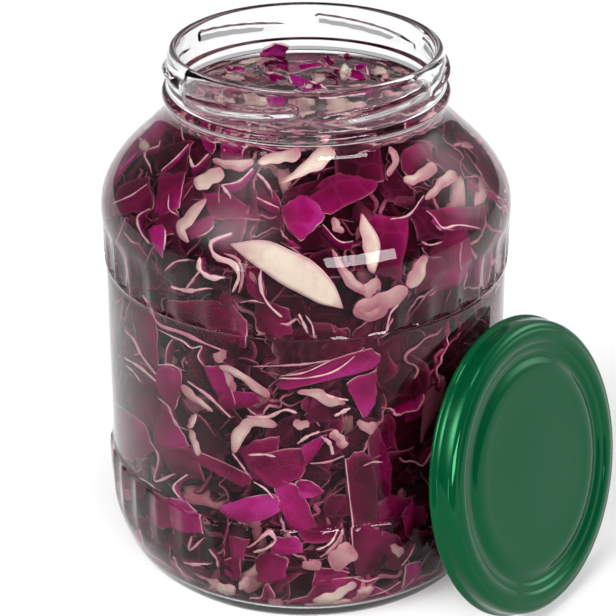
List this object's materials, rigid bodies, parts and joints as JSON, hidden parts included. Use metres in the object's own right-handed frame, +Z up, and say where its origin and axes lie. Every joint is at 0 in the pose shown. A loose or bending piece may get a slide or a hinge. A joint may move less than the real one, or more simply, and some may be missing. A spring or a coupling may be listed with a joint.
{
  "type": "preserving jar",
  "caption": "Wide-mouthed glass preserving jar with fluted bands and a lug thread, filled with chopped red cabbage in brine, its green metal twist-off lid leaning against it.",
  "frame": {"origin": "on the surface the jar stands on, under the middle of the whole outline, jar and leaning lid together", "axes": "+Z up along the jar's axis, -Y to the viewer, the lid leaning on the side between +X and -Y"},
  "size_m": [0.1906, 0.1668, 0.1962],
  "materials": {
    "glass": "clear, smooth, pressed",
    "red_cabbage": "wet leaf, magenta-purple with pale cut edges and ribs",
    "brine": "clear pink liquid",
    "lid_lacquer": "glossy green lacquer on pressed steel"
  },
  "bodies": {
    "root": {"jar": "glass", "cabbage": "red_cabbage", "lid": "lid_lacquer"}
  },
  "joints": []
}
